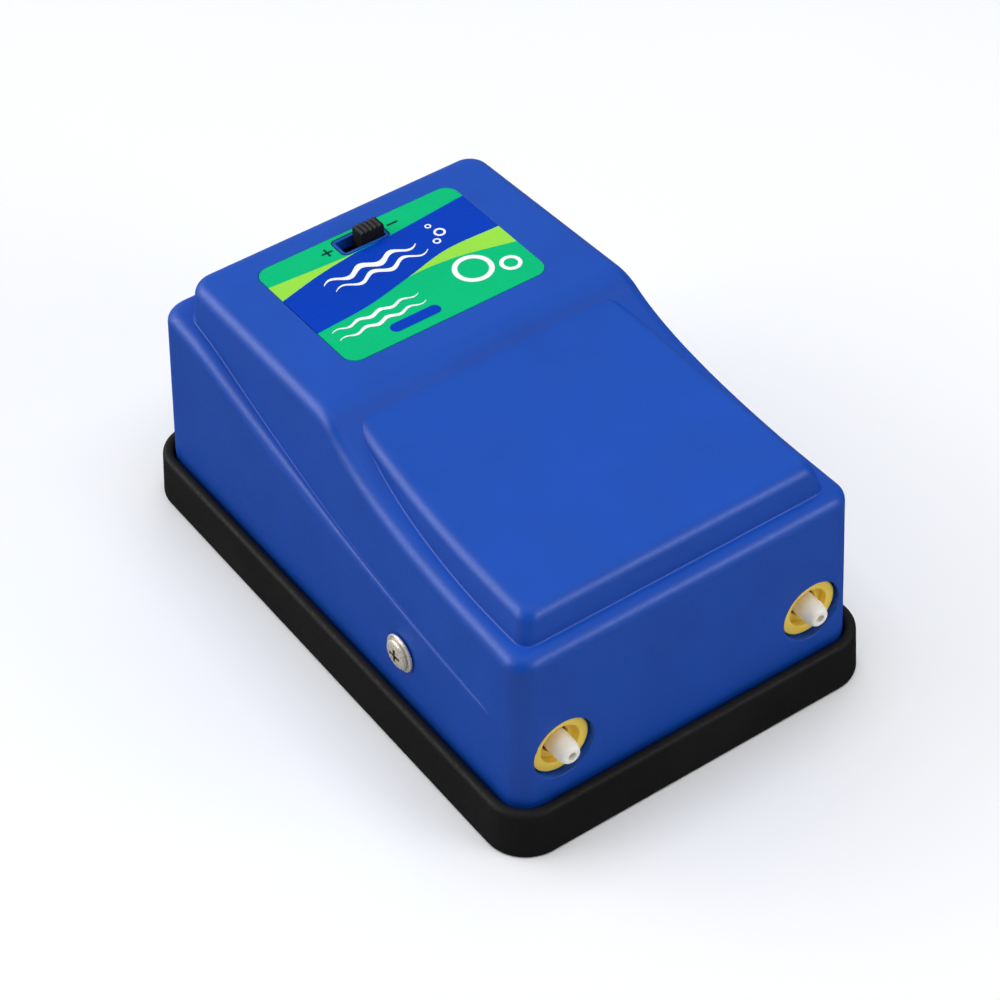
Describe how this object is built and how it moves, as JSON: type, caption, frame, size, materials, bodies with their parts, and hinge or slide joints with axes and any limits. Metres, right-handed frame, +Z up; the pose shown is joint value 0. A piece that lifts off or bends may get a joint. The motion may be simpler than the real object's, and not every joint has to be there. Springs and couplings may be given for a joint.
{
  "type": "aquarium air pump",
  "caption": "Small rectangular air pump with a blue stepped cover, black rubber base, front nozzles in yellow bushes and a slide switch on top.",
  "frame": {"origin": "middle of the rubber base's underside, on the surface the pump stands on", "axes": "+Z up, -Y out of the two air outlets, +Y towards the supply cord's bush, +X to the side away from the pictured side screw"},
  "size_m": [0.076, 0.115, 0.0528],
  "materials": {
    "blue_abs": "satin, finely textured moulding",
    "black_rubber": "matt, finely grained",
    "label_print": "printed in green, blue and lime bands",
    "black_plastic": "satin",
    "yellow_rubber": "satin yellow",
    "white_plastic": "satin",
    "nickel": "nickel plated",
    "steel": "zinc plated",
    "core_steel": "dark silicon steel laminations",
    "copper": "enamelled copper wire",
    "magnet": "plain ferrite block",
    "grey_plastic": "plain moulding",
    "nylon": "natural nylon",
    "soft_rubber": "soft black rubber",
    "felt": "pressed felt",
    "brass": "bright brass",
    "wire_red": "insulated wire",
    "wire_white": "insulated wire"
  },
  "bodies": {
    "housing": {"cover": "blue_abs", "base_boot": "black_rubber", "chassis_plate": "grey_plastic", "felt_filter": "felt", "cord_grommet": "soft_rubber", "label": "label_print", "switch_body": "black_plastic", "switch_terminal_1": "brass", "switch_terminal_2": "brass", "switch_terminal_3": "brass", "coil_bobbin": "nylon", "coil_winding": "copper", "core_half_left": "core_steel", "core_half_right": "core_steel", "coil_strap": "steel", "strap_screw_front": "nickel", "strap_screw_rear": "nickel", "supply_wire_coil": "wire_white", "supply_wire_switch": "wire_red", "tap_wire_high": "wire_red", "tap_wire_low": "wire_white", "pump_head_left": "white_plastic", "head_back_plate_left": "nylon", "intake_flap_left": "soft_rubber", "outlet_flap_left": "soft_rubber", "diaphragm_left": "soft_rubber", "hinge_block_left": "soft_rubber", "outlet_collar_left": "yellow_rubber", "side_washer_left": "nickel", "side_screw_left": "nickel", "pump_head_right": "white_plastic", "head_back_plate_right": "nylon", "intake_flap_right": "soft_rubber", "outlet_flap_right": "soft_rubber", "diaphragm_right": "soft_rubber", "hinge_block_right": "soft_rubber", "outlet_collar_right": "yellow_rubber", "side_washer_right": "nickel", "side_screw_right": "nickel"},
    "knob": {"switch_knob": "black_plastic"},
    "rocker_left": {"rocker_arm_left": "steel", "diaphragm_stud_left": "brass", "stud_nut_left": "brass", "magnet_left": "magnet"},
    "rocker_right": {"rocker_arm_right": "steel", "diaphragm_stud_right": "brass", "stud_nut_right": "brass", "magnet_right": "magnet"}
  },
  "joints": [
    {"name": "knob_slide", "type": "slide", "parent": "housing", "child": "knob", "axis": [-1, 0, 0], "range_m": [0, 0.0034]},
    {"name": "rocker_left_swing", "type": "hinge", "parent": "housing", "child": "rocker_left", "pos_m": [-0.014, -0.044, 0.0193], "axis": [0, 0, 1], "range_deg": [-1, 1], "stiffness_Nm_per_rad": 5, "deforming": ["diaphragm_left"]},
    {"name": "rocker_right_swing", "type": "hinge", "parent": "housing", "child": "rocker_right", "pos_m": [0.014, -0.044, 0.0193], "axis": [0, 0, 1], "range_deg": [-1, 1], "stiffness_Nm_per_rad": 5, "deforming": ["diaphragm_right"]}
  ],
  "couplings": [
    {"joint": "rocker_right_swing", "follows": "rocker_left_swing", "ratio": -1}
  ]
}
